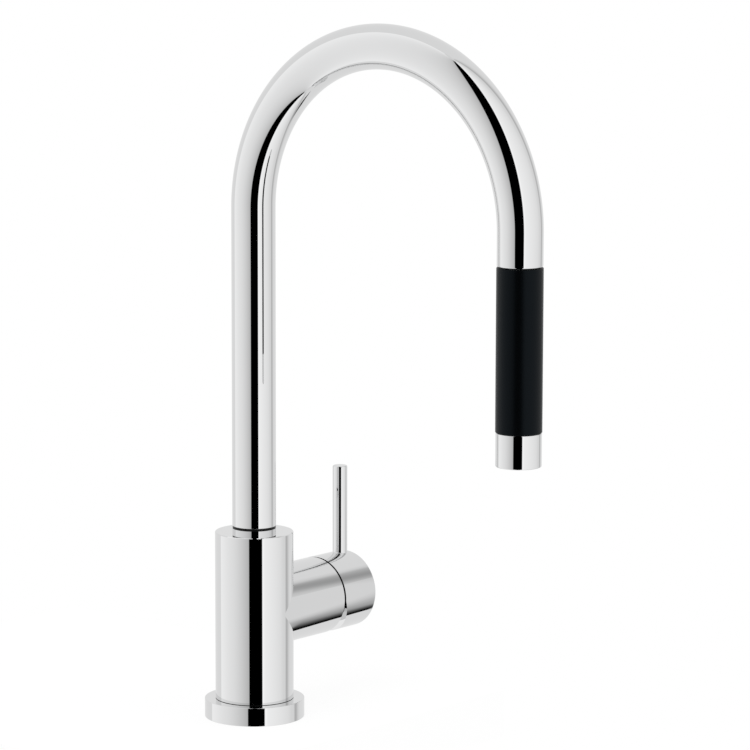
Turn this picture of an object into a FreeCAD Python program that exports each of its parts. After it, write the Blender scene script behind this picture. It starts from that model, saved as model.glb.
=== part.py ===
import FreeCAD, Part
import Sketcher
import math
import os
import re

# A deck-mounted kitchen faucet with a pull-out spray. The deck is the plane z = 0, the column
# stands on the Z axis, the spout reaches towards -Y, and the lever's housing reaches towards +X.

# Driving dimensions, in millimetres and degrees. Heights are above the deck, and reaches are
# from the column's axis.
SIZES = {
    # Fits between pieces
    "fit_gap": 0.05,
    "running_gap": 0.06,
    "clear_gap": 0.35,
    "edge_break": 0.4,
    # Base and column
    "flange_margin": 6.5,
    "flange_height": 11.3,
    "seal_height": 0.25,
    "seal_recess": 0.15,
    "gasket_rim": 2.6,
    "gasket_land": 1.5,
    "gasket_thickness": 2,
    "deck_gap": 1.5,
    "column_diameter": 47.3,
    "column_height": 113.6,
    "neck_rise": 2.1,
    "column_wall": 4.2,
    "head_room": 3.5,
    "register_step": 2.2,
    "ring_section": 1.4,
    "ring_height": 6,
    "foot_height": 20,
    "foot_edge": 4,
    "stud_hole": 6.8,
    "stud_depth": 16,
    "stud_spread": 9.5,
    "stud_setback": 9.5,
    # Spout
    "tube_diameter": 26.4,
    "tube_wall": 1.5,
    "tube_lip": 1,
    "bend_radius": 100,
    "bend_height": 309.5,
    "leg_drop": 19.1,
    "bush_lip": 1.5,
    "bush_wall": 1.2,
    "spigot_step": 1,
    "spigot_wall": 2.2,
    "spigot_overlap": 24,
    "stop_drop": 15,
    "stop_screw": 5,
    "slot_depth": 1.2,
    "swivel_limit": 75,
    "hose_diameter": 12.5,
    "hose_bore": 8,
    # Housing and cartridge
    "housing_diameter": 47.26,
    "housing_reach": 57.1,
    "housing_wall": 3.9,
    "lever_drop": 48.6,
    "cartridge_diameter": 35,
    "cartridge_depth": 30.1,
    "hose_room": 0.7,
    "manifold_head": 5,
    "manifold_step": 1.1,
    "manifold_flat": 11,
    "port_inset": 5.3,
    "port_spread": 8,
    "port_rise": 9.5,
    "port_thread": 7,
    "port_depth": 7,
    "channel": 6,
    "riser": 5,
    "base_thickness": 5,
    "seal_section": 1.4,
    "disc_diameter": 28,
    "disc_thickness": 3,
    "slider_diameter": 23,
    "carrier_thickness": 5,
    "carrier_floor": 0.6,
    "ball_depth": 3.5,
    "ball_diameter": 5.2,
    "case_wall": 1.5,
    "case_front": 2,
    "case_step": 3,
    "case_neck": 4.5,
    "turret_flange": 2.8,
    "turret_wall": 2.85,
    "turret_proud": 2,
    "pivot_depth": 2,
    "pivot_pin": 3,
    "pin_inset": 1,
    "nut_length": 7,
    "cover_thickness": 1.2,
    # Lever
    "lever_gap": 1,
    "cap_length": 28.4,
    "cap_wall": 3.4,
    "cap_end_wall": 11,
    "boss_diameter": 16,
    "boss_setback": 3,
    "stem_side": 8,
    "hub_length": 7,
    "hub_height": 10,
    "stem_engagement": 16.4,
    "slot_height": 14,
    "arm_diameter": 4.4,
    "lift_range": 18,
    "handle_diameter": 9.1,
    "handle_rise": 78,
    "handle_setback": 6.5,
    "handle_blend": 0.4,
    "handle_round": 0.9,
    "cap_round": 0.7,
    "grub_screw": 5,
    "grub_length": 10,
    "grub_setback": 13,
    "rib_width": 9,
    "plug_diameter": 5.8,
    "plug_length": 2.2,
    "plug_inset": 0.4,
    # Spray
    "grip_diameter": 26.8,
    "grip_length": 94.1,
    "grip_wall": 2.4,
    "core_wall": 1.2,
    "collar_depth": 7.4,
    "neck_step": 0.6,
    "neck_taper": 0.8,
    "neck_room": 3.5,
    "ferrule_wall": 0.4,
    "ferrule_length": 14,
    "connector_flange": 5.6,
    "connector_bore": 6,
    "nipple_diameter": 11.2,
    "nipple_length": 6,
    "washer_thickness": 2.2,
    "valve_length": 14,
    "valve_room": 5,
    "water_bore": 9,
    "tail_step": 0.9,
    "tip_diameter": 26.4,
    "tip_length": 19.6,
    "tip_round": 0.7,
    "lip_depth": 1.2,
    "lip_thickness": 1.6,
    "aerator_height": 6.5,
    "aerator_wall": 1.2,
    "aerator_seal": 2.2,
    "grid_thickness": 2.4,
    "grid_pitch": 1.95,
    "grid_hole": 1.4,
    "grid_rim": 0.3,
    "strainer_thickness": 1,
    "strainer_rim": 1.5,
}

# Lengths that follow from the driving dimensions
DERIVED = {
    "column_radius": "column_diameter / 2",
    "flange_radius": "column_radius + flange_margin",
    "cavity_radius": "column_radius - column_wall",
    "register_radius": "column_radius - register_step",
    "flange_bore": "register_radius + fit_gap",
    "groove_inner": "flange_bore + gasket_land",
    "groove_outer": "flange_radius - gasket_rim",
    "lever_height": "column_height - lever_drop",
    "head_bottom": "lever_height + cartridge_radius + head_room",
    "tube_radius": "tube_diameter / 2",
    "tube_bore": "tube_radius - tube_wall",
    "column_seat": "flange_height + seal_height",
    "neck_end": "column_height + neck_rise",
    "tube_foot": "neck_end + bush_lip",
    "dock_height": "bend_height - leg_drop",
    "spigot_seat": "tube_bore - fit_gap",
    "spigot_radius": "spigot_seat - spigot_step",
    "spigot_bore": "spigot_radius - spigot_wall",
    "spigot_foot": "head_bottom - clear_gap",
    "bush_bore": "spigot_radius + running_gap",
    "bush_radius": "bush_bore + bush_wall",
    "head_bore": "bush_radius + fit_gap",
    "stop_height": "column_height - stop_drop",
    "stop_radius": "stop_screw / 2",
    "slot_floor": "spigot_radius - slot_depth",
    "hose_radius": "hose_diameter / 2",
    "housing_radius": "housing_diameter / 2",
    "thread_radius": "housing_radius - housing_wall",
    "cartridge_radius": "cartridge_diameter / 2",
    "manifold_radius": "cartridge_radius - manifold_step",
    "manifold_front": "housing_reach - cartridge_depth",
    "manifold_seat": "manifold_front - manifold_head",
    "manifold_back": "hose_radius + hose_room",
    "port_reach": "manifold_back + port_inset",
    "port_face": "lever_height - manifold_flat",
    "disc_face": "manifold_front + base_thickness",
    "slide_face": "disc_face + disc_thickness",
    "carrier_back": "slide_face + disc_thickness",
    "carrier_front": "carrier_back + carrier_thickness",
    "ball_reach": "carrier_back + ball_depth",
    "ball_radius": "ball_diameter / 2",
    "turret_back": "carrier_front + clear_gap",
    "turret_shoulder": "turret_back + turret_flange",
    "case_inside": "turret_shoulder + clear_gap",
    "case_shoulder": "case_inside + case_front",
    "case_end": "case_shoulder + case_neck",
    "case_bore": "cartridge_radius - case_wall",
    "neck_outside": "cartridge_radius - case_step",
    "neck_inside": "neck_outside - turret_wall",
    "turret_radius": "neck_inside - clear_gap",
    "turret_end": "case_end + turret_proud",
    "pivot_reach": "case_shoulder + pivot_depth",
    "nut_end": "case_shoulder + nut_length",
    "cap_start": "housing_reach + lever_gap",
    "cap_end": "cap_start + cap_length",
    "cap_bore": "housing_radius - cap_wall",
    "cap_floor": "cap_end - cap_end_wall",
    "boss_start": "cap_start + boss_setback",
    "handle_reach": "cap_end - handle_setback",
    "stem_end": "cap_start + stem_engagement",
    "stem_half": "stem_side / 2",
    "grub_reach": "cap_start + grub_setback",
    "grub_top": "stem_half + fit_gap",
    "plug_foot": "housing_radius - plug_inset",
    "plug_top": "plug_foot - plug_length",
    "lean_stop": "housing_reach - pivot_reach + clear_gap",
    "grip_radius": "grip_diameter / 2",
    "grip_top": "dock_height - clear_gap",
    "grip_bottom": "grip_top - grip_length",
    "core_radius": "grip_radius - grip_wall",
    "collar_radius": "core_radius - core_wall",
    "collar_bottom": "grip_top - collar_depth",
    "neck_radius": "collar_radius - neck_step",
    "neck_tip": "neck_radius - neck_taper",
    "neck_top": "bend_height - neck_room",
    "ferrule_radius": "hose_radius + ferrule_wall",
    "neck_bore": "ferrule_radius + clear_gap",
    "connector_top": "collar_bottom - clear_gap",
    "connector_seat": "connector_top - connector_flange",
    "washer_top": "connector_seat - clear_gap",
    "chamber_floor": "washer_top - washer_thickness",
    "nipple_bore": "nipple_diameter / 2 + clear_gap",
    "nipple_end": "connector_seat - nipple_length",
    "valve_top": "chamber_floor - valve_room",
    "valve_floor": "valve_top - valve_length",
    "tail_radius": "core_radius - tail_step",
    "tip_radius": "tip_diameter / 2",
    "tip_bore": "tail_radius + fit_gap",
    "tip_bottom": "grip_bottom - tip_length",
    "lip_radius": "tip_bore - lip_depth",
    "lip_top": "tip_bottom + lip_thickness",
    "aerator_radius": "tip_bore - fit_gap",
    "aerator_bore": "aerator_radius - aerator_wall",
    "aerator_top": "lip_top + aerator_height",
    "core_bottom": "aerator_top + aerator_seal",
    "tail_ring_height": "(core_bottom + grip_bottom) / 2",
    "ring_radius": "ring_section / 2",
    "ring_groove": "ring_section + 2 * fit_gap",
}

TOLERANCE = 0.001
ALONG = {
    "X": FreeCAD.Rotation(FreeCAD.Vector(0, 1, 0), 90),
    "Y": FreeCAD.Rotation(FreeCAD.Vector(1, 0, 0), -90),
    "Z": FreeCAD.Rotation(),
}
OVERSHOOT = "2 * edge_break"

doc = FreeCAD.newDocument("kitchen_faucet")
sheet = doc.addObject("Spreadsheet::Sheet", "Sizes")
for row, (name, size) in enumerate(SIZES.items(), start=1):
    sheet.set(f"A{row}", name)
    sheet.set(f"B{row}", str(size))
    sheet.setAlias(f"B{row}", name)
doc.recompute()

nodes = []


def formula(text):
    """Write words of the sheet and derived lengths as an expression on the sheet's cells."""

    def cell(match):
        word = match[0]
        if word in DERIVED:
            return f"({formula(DERIVED[word])})"
        return f"Sizes.{word}" if word in SIZES else word

    return re.sub(r"[a-z_]+", cell, text)


def measure(text):
    """Give the present value of a formula."""
    return float(sheet.evalExpression(formula(text)))


def bind(thing, name, text):
    """Tie one property of an object to a formula."""
    thing.setExpression(name, formula(text))


def place(thing, x, y, z):
    """Tie an object's position to three formulas."""
    for axis, text in zip("xyz", (x, y, z)):
        if text != "0":
            bind(thing, f"Placement.Base.{axis}", text)


def keep(thing):
    """Count an object as one of the finished pieces."""
    nodes.append(thing)
    return thing


def new_body(label, x="0", y="0", z="0"):
    body = doc.addObject("PartDesign::Body", label)
    body.Label = label
    place(body, x, y, z)
    return body


def new_sketch(body, role, name):
    sketch = body.newObject("Sketcher::SketchObject", name)
    plane = next(item for item in body.Origin.OriginFeatures if item.Role == role)
    sketch.AttachmentSupport = [(plane, "")]
    sketch.MapMode = "FlatFace"
    return sketch


def fix_point(sketch, line, end, name, x, y):
    """Hold one end of a line at two formulas, on an axis where one is 0, or free where one is None."""
    for kind, axis, text in (("DistanceX", -2, x), ("DistanceY", -1, y)):
        if text is None:
            continue
        if text == "0":
            sketch.addConstraint(Sketcher.Constraint("PointOnObject", line, end, axis))
            continue
        rule = Sketcher.Constraint(kind, -1, 1, line, end, measure(text))
        index = sketch.addConstraint(rule)
        sketch.renameConstraint(index, f"{name}_{kind}")
        bind(sketch, f"Constraints.{name}_{kind}", text)


def outline(sketch, points):
    """Draw a closed outline through points that are pairs of formulas."""
    spots = [FreeCAD.Vector(measure(x), measure(y), 0) for x, y in points]
    count = len(points)
    for index in range(count):
        sketch.addGeometry(Part.LineSegment(spots[index], spots[(index + 1) % count]))
    for index in range(count):
        sketch.addConstraint(Sketcher.Constraint("Coincident", index, 2, (index + 1) % count, 1))
    for index, (x, y) in enumerate(points):
        fix_point(sketch, index, 1, f"corner{index}", x, y)


def circle(sketch, name, radius, x="0", y="0"):
    """Draw a circle whose radius and centre are formulas."""
    centre = FreeCAD.Vector(measure(x), measure(y), 0)
    index = sketch.addGeometry(Part.Circle(centre, FreeCAD.Vector(0, 0, 1), measure(radius)))
    rule = sketch.addConstraint(Sketcher.Constraint("Radius", index, measure(radius)))
    sketch.renameConstraint(rule, name)
    bind(sketch, f"Constraints.{name}", radius)
    if x == "0" and y == "0":
        sketch.addConstraint(Sketcher.Constraint("Coincident", index, 3, -1, 1))
    else:
        fix_point(sketch, index, 3, f"{name}_centre", x, y)


def turned(label, axis, points, x="0", y="0", z="0"):
    """Turn an outline: points are (radius, height) about Z, or (reach, radius) about X."""
    body = new_body(label, x, y, z)
    sketch = new_sketch(body, "XZ_Plane", f"{label}_outline")
    outline(sketch, points)
    turn = body.newObject("PartDesign::Revolution", f"{label}_turn")
    turn.Profile = sketch
    turn.ReferenceAxis = (sketch, ["V_Axis" if axis == "Z" else "H_Axis"])
    turn.Angle = 360
    return body


def on_lever_axis(label, points):
    return turned(label, "X", points, z="lever_height")


def on_spray_axis(label, points):
    return turned(label, "Z", points, y="-2 * bend_radius")


def rod(name, along, radius, length, x="0", y="0", z="0"):
    """Make a cylinder that starts at a point and runs along an axis."""
    thing = doc.addObject("Part::Cylinder", name)
    bind(thing, "Radius", radius)
    bind(thing, "Height", length)
    thing.Placement = FreeCAD.Placement(FreeCAD.Vector(), ALONG[along])
    place(thing, x, y, z)
    return thing


def block(name, start, size):
    """Make a box from its lowest corner and its three sides."""
    thing = doc.addObject("Part::Box", name)
    for side, text in zip(("Length", "Width", "Height"), size):
        bind(thing, side, text)
    place(thing, *start)
    return thing


def o_ring(label, radius, **where):
    """Make a round ring whose outside touches a radius."""
    ring = doc.addObject("Part::Torus", label)
    bind(ring, "Radius1", f"{radius} - ring_radius")
    bind(ring, "Radius2", "ring_radius")
    place(ring, where.get("x", "0"), where.get("y", "0"), where.get("z", "0"))
    return ring


def fused(label, *things):
    joined = doc.addObject("Part::MultiFuse", label)
    joined.Shapes = list(things)
    return joined


def cut(label, base, *tools):
    result = doc.addObject("Part::Cut", label)
    result.Base = base
    result.Tool = tools[0] if len(tools) == 1 else fused(f"{label}_tools", *tools)
    return result


# Base and column


def base_flange():
    """Deck ring with a groove underneath for its gasket."""
    return turned("base_flange", "Z", [
        ("flange_bore", "0"),
        ("groove_inner", "0"),
        ("groove_inner", "gasket_thickness"),
        ("groove_outer", "gasket_thickness"),
        ("groove_outer", "0"),
        ("flange_radius", "0"),
        ("flange_radius", "flange_height - edge_break"),
        ("flange_radius - edge_break", "flange_height"),
        ("flange_bore", "flange_height"),
    ])


def base_gasket():
    return turned("base_gasket", "Z", [
        ("groove_inner + fit_gap", "0"),
        ("groove_outer - fit_gap", "0"),
        ("groove_outer - fit_gap", "gasket_thickness"),
        ("groove_inner + fit_gap", "gasket_thickness"),
    ])


def column_blank():
    """Solid column: a foot that registers in the flange with a ring groove, and a neck under the spout."""
    return turned("column_blank", "Z", [
        ("0", "deck_gap"),
        ("register_radius", "deck_gap"),
        ("register_radius", "ring_height - ring_groove / 2"),
        ("register_radius - ring_section", "ring_height - ring_groove / 2"),
        ("register_radius - ring_section", "ring_height + ring_groove / 2"),
        ("register_radius", "ring_height + ring_groove / 2"),
        ("register_radius", "column_seat"),
        ("column_radius", "column_seat"),
        ("column_radius", "column_height - edge_break"),
        ("column_radius - edge_break", "column_height"),
        ("tube_radius", "column_height"),
        ("tube_radius", "neck_end"),
        ("0", "neck_end"),
    ])


def housing_blank():
    """Solid side housing that meets the column at a sharp seam."""
    return on_lever_axis("housing_blank", [
        ("0", "0"),
        ("0", "housing_radius"),
        ("housing_reach - edge_break", "housing_radius"),
        ("housing_reach", "housing_radius - edge_break"),
        ("housing_reach", "0"),
    ])


def column_bore():
    """Hollow of the column: the hose space, and above it the seat of the swivel bush."""
    return turned("column_bore", "Z", [
        ("0", "0"),
        ("cavity_radius", "0"),
        ("cavity_radius", "head_bottom"),
        ("head_bore", "head_bottom"),
        ("head_bore", f"neck_end + {OVERSHOOT}"),
        ("0", f"neck_end + {OVERSHOOT}"),
    ])


def housing_bore():
    """Stepped hollow of the housing: manifold, cartridge and the thread of the nut."""
    return on_lever_axis("housing_bore", [
        ("manifold_back", "0"),
        ("manifold_back", "manifold_radius + fit_gap"),
        ("manifold_seat", "manifold_radius + fit_gap"),
        ("manifold_seat", "cartridge_radius + fit_gap"),
        ("case_shoulder", "cartridge_radius + fit_gap"),
        ("case_shoulder", "thread_radius"),
        (f"housing_reach + {OVERSHOOT}", "thread_radius"),
        (f"housing_reach + {OVERSHOOT}", "0"),
    ])


def column_foot():
    """Half-moon foot inside the column that takes the two fixing studs."""
    span = "cavity_radius + edge_break"
    disc = rod("foot_disc", "Z", span, "foot_height - deck_gap", z="deck_gap")
    side = block("foot_side", (f"-({span})", f"-({span})", "deck_gap"),
                 (f"{span} - foot_edge", f"2 * ({span})", "foot_height - deck_gap"))
    moon = doc.addObject("Part::Common", "foot_moon")
    moon.Base = disc
    moon.Tool = side
    return moon


def faucet_body():
    """Column and housing in one casting, with the foot, the stud holes and the stop screw's hole."""
    stop_hole = rod("stop_hole", "Y", "stop_radius", "column_radius", y="slot_floor", z="stop_height")
    blank = fused("body_blank", column_blank(), housing_blank())
    shell = cut("body_shell", blank, column_bore(), housing_bore(), stop_hole)
    drills = [rod("hose_way", "Z", "hose_radius + hose_room", "foot_height", z="0")]
    for side in ("-", ""):
        drills.append(rod("stud_drill", "Z", "stud_hole / 2", "stud_depth",
                          x="-stud_setback", y=f"{side}stud_spread", z="deck_gap"))
    return cut("faucet_body", fused("body_with_foot", shell, column_foot()), *drills)


def joint_seal():
    """Flat ring between the flange and the column, which shows as a thin dark line."""
    return turned("joint_seal", "Z", [
        ("flange_bore", "flange_height"),
        ("column_radius - seal_recess", "flange_height"),
        ("column_radius - seal_recess", "column_seat"),
        ("flange_bore", "column_seat"),
    ])


def flange_o_ring():
    return o_ring("flange_o_ring", "register_radius + fit_gap", z="ring_height")


# Spout


def swivel_bush():
    """Flanged glide bush: its lip carries the tube, and its wall lets the stop screw through."""
    blank = turned("bush_blank", "Z", [
        ("bush_bore", "head_bottom"),
        ("bush_radius", "head_bottom"),
        ("bush_radius", "neck_end"),
        ("tube_radius - edge_break / 2", "neck_end"),
        ("tube_radius - edge_break / 2", "tube_foot"),
        ("bush_bore", "tube_foot"),
    ])
    hole = rod("bush_hole", "Y", "stop_radius", "column_radius", y="slot_floor", z="stop_height")
    return cut("swivel_bush", blank, hole)


def spout_stop_screw():
    """Grub screw from behind, which holds the spigot down and stops its swivel."""
    return rod("spout_stop_screw", "Y", "stop_radius - fit_gap",
               "column_radius - slot_floor - clear_gap - edge_break",
               y="slot_floor + clear_gap", z="stop_height")


def spout_spigot():
    """Sleeve in the tube's foot that runs in the bush, with the slot for the stop screw."""
    body = turned("spout_spigot", "Z", [
        ("spigot_bore", "spigot_foot"),
        ("spigot_radius", "spigot_foot"),
        ("spigot_radius", "tube_foot"),
        ("spigot_seat", "tube_foot"),
        ("spigot_seat", "tube_foot + spigot_overlap"),
        ("spigot_bore", "tube_foot + spigot_overlap"),
    ])
    sketch = new_sketch(body, "YZ_Plane", "slot_outline")
    half = "stop_radius + running_gap"
    outline(sketch, [
        ("slot_floor", f"stop_height - {half}"),
        ("tube_radius", f"stop_height - {half}"),
        ("tube_radius", f"stop_height + {half}"),
        ("slot_floor", f"stop_height + {half}"),
    ])
    slot = body.newObject("PartDesign::Groove", "stop_slot")
    slot.Profile = sketch
    slot.ReferenceAxis = (sketch, ["V_Axis"])
    slot.Midplane = True
    bind(slot, "Angle", "2 * (swivel_limit * 1 deg + asin((stop_radius + running_gap) / slot_floor))")
    return body


def gooseneck(label, outer, inner, foot, end):
    """Sweep a tube up from a foot, over the half-circle bend and down to its end.

    The body is turned half round, so that its own +Y points along the spout.
    """
    body = new_body(label)
    body.Placement = FreeCAD.Placement(FreeCAD.Vector(), FreeCAD.Rotation(FreeCAD.Vector(0, 0, 1), 180))
    ring = new_sketch(body, "XY_Plane", f"{label}_section")
    bind(ring, "AttachmentOffset.Base.z", foot)
    circle(ring, "outside", outer)
    circle(ring, "inside", inner)
    path = new_sketch(body, "YZ_Plane", f"{label}_path")
    radius, spring = measure("bend_radius"), measure("bend_height")
    low, last = measure(foot), measure(end)
    point = FreeCAD.Vector
    rise = path.addGeometry(Part.LineSegment(point(0, low, 0), point(0, spring, 0)))
    arc = path.addGeometry(Part.ArcOfCircle(
        Part.Circle(point(radius, spring, 0), point(0, 0, 1), radius), 0, math.pi))
    edges = ["Edge1", "Edge2"]
    fix_point(path, rise, 1, "foot", "0", foot)
    fix_point(path, rise, 2, "spring", "0", "bend_height")
    path.addConstraint(Sketcher.Constraint("Coincident", rise, 2, arc, 2))
    fix_point(path, arc, 3, "bend", "bend_radius", "bend_height")
    path.addConstraint(Sketcher.Constraint("Horizontal", arc, 1, arc, 3))
    if last < spring:
        far = 2 * radius
        drop = path.addGeometry(Part.LineSegment(point(far, spring, 0), point(far, last, 0)))
        edges.append("Edge3")
        path.addConstraint(Sketcher.Constraint("Coincident", drop, 1, arc, 1))
        path.addConstraint(Sketcher.Constraint("Vertical", drop))
        fix_point(path, drop, 2, "end", None, end)
    doc.recompute()
    pipe = body.newObject("PartDesign::AdditivePipe", f"{label}_pipe")
    pipe.Profile = ring
    pipe.Spine = (path, edges)
    return body


def spout_tube():
    """Gooseneck of the spout, rounded off round its open end."""
    body = gooseneck("spout_tube", "tube_radius", "tube_bore", "tube_foot", "dock_height")
    doc.recompute()
    pipe = body.Tip
    up = FreeCAD.Vector(0, 0, 1)
    lip = body.newObject("PartDesign::Fillet", "spout_tube_lip")
    lip.Base = (pipe, circles_of(pipe.Shape, measure("tube_radius"), up, measure("dock_height")))
    bind(lip, "Radius", "tube_lip")
    return body


def spray_hose():
    """Hose held inside the column and the spout, up to the end of the bend."""
    return gooseneck("spray_hose", "hose_radius", "hose_bore / 2", "deck_gap", "bend_height")


def spray_dock():
    """Tapered bush in the tube's end that takes the neck of the spray."""
    return on_spray_axis("spray_dock", [
        ("neck_radius + clear_gap", "dock_height"),
        ("tube_bore - fit_gap", "dock_height"),
        ("tube_bore - fit_gap", "bend_height"),
        ("neck_tip + clear_gap", "bend_height"),
        ("neck_tip + clear_gap", "neck_top"),
    ])


# Cartridge in the housing


def valve_manifold():
    """Block behind the cartridge with hot, cold and mixed water ways and their threaded ports below."""
    blank = on_lever_axis("manifold_blank", [
        ("manifold_back", "0"),
        ("manifold_back", "manifold_radius"),
        ("manifold_seat", "manifold_radius"),
        ("manifold_seat", "cartridge_radius"),
        ("manifold_front", "cartridge_radius"),
        ("manifold_front", "0"),
    ])
    flat_start = ("manifold_back - edge_break", "-cartridge_radius", "port_face - cartridge_radius")
    flat_length = "manifold_seat - manifold_back + edge_break"
    tools = [block("port_flat", flat_start, (flat_length, "2 * cartridge_radius", "cartridge_radius"))]
    for side, rise in (("-port_spread", "0"), ("port_spread", "0"), ("0", "port_rise")):
        tools.append(rod("port_thread_way", "Z", "port_thread / 2", "port_depth",
                         x="port_reach", y=side, z="port_face"))
        tools.append(rod("port_riser", "Z", "riser / 2", f"manifold_flat + {rise}",
                         x="port_reach", y=side, z="port_face"))
        tools.append(rod("port_channel", "X", "channel / 2", "manifold_front - port_reach + channel / 2",
                         x="port_reach - channel / 2", y=side, z=f"lever_height + {rise}"))
    return cut("valve_manifold", blank, *tools)


def water_ways(name, radius, start, length):
    """Make three rods through the cartridge's ports."""
    return [rod(name, "X", radius, length, x=start, y=side, z=f"lever_height + {rise}")
            for side, rise in (("-port_spread", "0"), ("port_spread", "0"), ("0", "port_rise"))]


def cartridge_base():
    """Foot of the cartridge, with a seal pocket round each port."""
    blank = on_lever_axis("cartridge_foot", [
        ("manifold_front", "0"),
        ("manifold_front", "cartridge_radius"),
        ("disc_face", "cartridge_radius"),
        ("disc_face", "0"),
    ])
    ways = water_ways("foot_way", "channel / 2", "manifold_front", "base_thickness")
    pockets = water_ways("seal_pocket", "channel / 2 + seal_section", "manifold_front", "seal_section")
    return cut("cartridge_base", blank, *ways, *pockets)


def cartridge_seals():
    """Three flat rings that seal the ports against the manifold."""
    outer = "channel / 2 + seal_section - fit_gap"
    inner = "channel / 2 + fit_gap"
    rings = water_ways("seal_disc", outer, "manifold_front", "seal_section")
    holes = water_ways("seal_hole", inner, "manifold_front", "seal_section")
    return cut("cartridge_seals", fused("seal_discs", *rings), *holes)


def fixed_disc():
    blank = rod("fixed_disc_blank", "X", "disc_diameter / 2", "disc_thickness",
                x="disc_face", z="lever_height")
    ways = water_ways("disc_way", "channel / 2", "disc_face", "disc_thickness")
    return cut("fixed_disc", blank, *ways)


def moving_disc():
    """Upper ceramic disc, whose pocket joins the ports as it slides."""
    blank = rod("moving_disc_blank", "X", "slider_diameter / 2", "disc_thickness",
                x="slide_face", z="lever_height")
    half = "slider_diameter / 4"
    pocket = block("disc_pocket", ("slide_face", f"-({half})", f"lever_height - {half}"),
                   ("disc_thickness / 2", f"2 * {half}", f"2 * {half}"))
    return cut("moving_disc", blank, pocket)


def disc_carrier():
    """Plastic carrier that the stem's ball drives."""
    blank = rod("carrier_blank", "X", "slider_diameter / 2", "carrier_thickness",
                x="carrier_back", z="lever_height")
    pocket = rod("ball_pocket", "X", "ball_radius + clear_gap", "carrier_thickness",
                 x="carrier_back + carrier_floor", z="lever_height")
    return cut("disc_carrier", blank, pocket)


def cartridge_case():
    """Shell round the discs, with a shoulder for the nut and a neck for the turret."""
    return on_lever_axis("cartridge_case", [
        ("disc_face", "case_bore"),
        ("disc_face", "cartridge_radius"),
        ("case_shoulder", "cartridge_radius"),
        ("case_shoulder", "neck_outside"),
        ("case_end", "neck_outside"),
        ("case_end", "neck_inside"),
        ("case_inside", "neck_inside"),
        ("case_inside", "case_bore"),
    ])


def cartridge_turret():
    """Turning guide that carries the stem on its pin and lets it lean in one plane."""
    blank = on_lever_axis("turret_blank", [
        ("turret_back", "0"),
        ("turret_back", "case_bore - clear_gap"),
        ("turret_shoulder", "case_bore - clear_gap"),
        ("turret_shoulder", "turret_radius"),
        ("turret_end", "turret_radius"),
        ("turret_end", "0"),
    ])
    slot_half = "(stem_half + clear_gap)"
    slot = block("stem_slot", ("turret_back", f"-{slot_half}", "lever_height - slot_height / 2"),
                 ("turret_end - turret_back", f"2 * {slot_half}", "slot_height"))
    pin_hole = rod("turret_pin_hole", "Y", "pivot_pin / 2 + fit_gap", "2 * turret_radius",
                   x="pivot_reach", y="-turret_radius", z="lever_height")
    return cut("cartridge_turret", blank, slot, pin_hole)


def stem_pin():
    return rod("stem_pin", "Y", "pivot_pin / 2", "2 * (turret_radius - pin_inset)",
               x="pivot_reach", y="-(turret_radius - pin_inset)", z="lever_height")


def cartridge_nut():
    """Ring nut that presses the cartridge on to the manifold."""
    return on_lever_axis("cartridge_nut", [
        ("case_shoulder", "neck_outside + clear_gap"),
        ("case_shoulder", "thread_radius - fit_gap"),
        ("nut_end", "thread_radius - fit_gap"),
        ("nut_end", "neck_outside + clear_gap"),
    ])


def cartridge_cover_ring():
    """Dark ring in the housing's mouth that hides the nut."""
    return on_lever_axis("cartridge_cover_ring", [
        ("nut_end", "neck_outside + clear_gap"),
        ("nut_end", "thread_radius - fit_gap"),
        ("nut_end + cover_thickness", "thread_radius - fit_gap"),
        ("nut_end + cover_thickness", "neck_outside + clear_gap"),
    ])


# Lever


def lever_stem():
    """Stem that leans on the pin: a ball inside, a hub on the pin and a square end in the lever."""
    arm = rod("stem_arm", "X", "arm_diameter / 2", "pivot_reach - ball_reach",
              x="ball_reach", z="lever_height")
    ball = doc.addObject("Part::Sphere", "stem_ball")
    bind(ball, "Radius", "ball_radius")
    place(ball, "ball_reach", "0", "lever_height")
    hub_start = ("pivot_reach - hub_length / 2", "-stem_half", "lever_height - hub_height / 2")
    hub = block("stem_hub", hub_start, ("hub_length", "stem_side", "hub_height"))
    shank = block("stem_shank", ("pivot_reach", "-stem_half", "lever_height - stem_half"),
                  ("stem_end - pivot_reach", "stem_side", "stem_side"))
    hole = rod("stem_hole", "Y", "pivot_pin / 2 + running_gap", "2 * stem_side",
               x="pivot_reach", y="-stem_side", z="lever_height")
    return cut("lever_stem", fused("stem_blank", arm, ball, hub, shank), hole)


def edges_between(shape, first, second):
    """Name the edges of a shape where two cylinders of given radii meet."""
    found = []
    wanted = sorted((first, second))
    for index, edge in enumerate(shape.Edges, start=1):
        radii = sorted(face.Surface.Radius for face in shape.ancestorsOfType(edge, Part.Face)
                       if isinstance(face.Surface, Part.Cylinder))
        if len(radii) == 2 and all(abs(a - b) < TOLERANCE for a, b in zip(radii, wanted)):
            found.append(f"Edge{index}")
    return found


def circles_of(shape, radius, axis, station):
    """Name the round edges of one radius that lie at a station along an axis."""
    found = []
    for index, edge in enumerate(shape.Edges, start=1):
        if isinstance(edge.Curve, Part.Circle) and abs(edge.Curve.Radius - radius) < TOLERANCE:
            if abs(edge.Curve.Center.dot(axis) - station) < TOLERANCE:
                found.append(f"Edge{index}")
    return found


def flat_faces_at(shape, reach):
    """Name the flat faces of a shape that look along X at a reach."""
    found = []
    for index, face in enumerate(shape.Faces, start=1):
        if not isinstance(face.Surface, Part.Plane) or abs(face.CenterOfMass.x - reach) > TOLERANCE:
            continue
        if abs(face.normalAt(0, 0).x) > 0.5:
            found.append(f"Face{index}")
    return found


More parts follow.
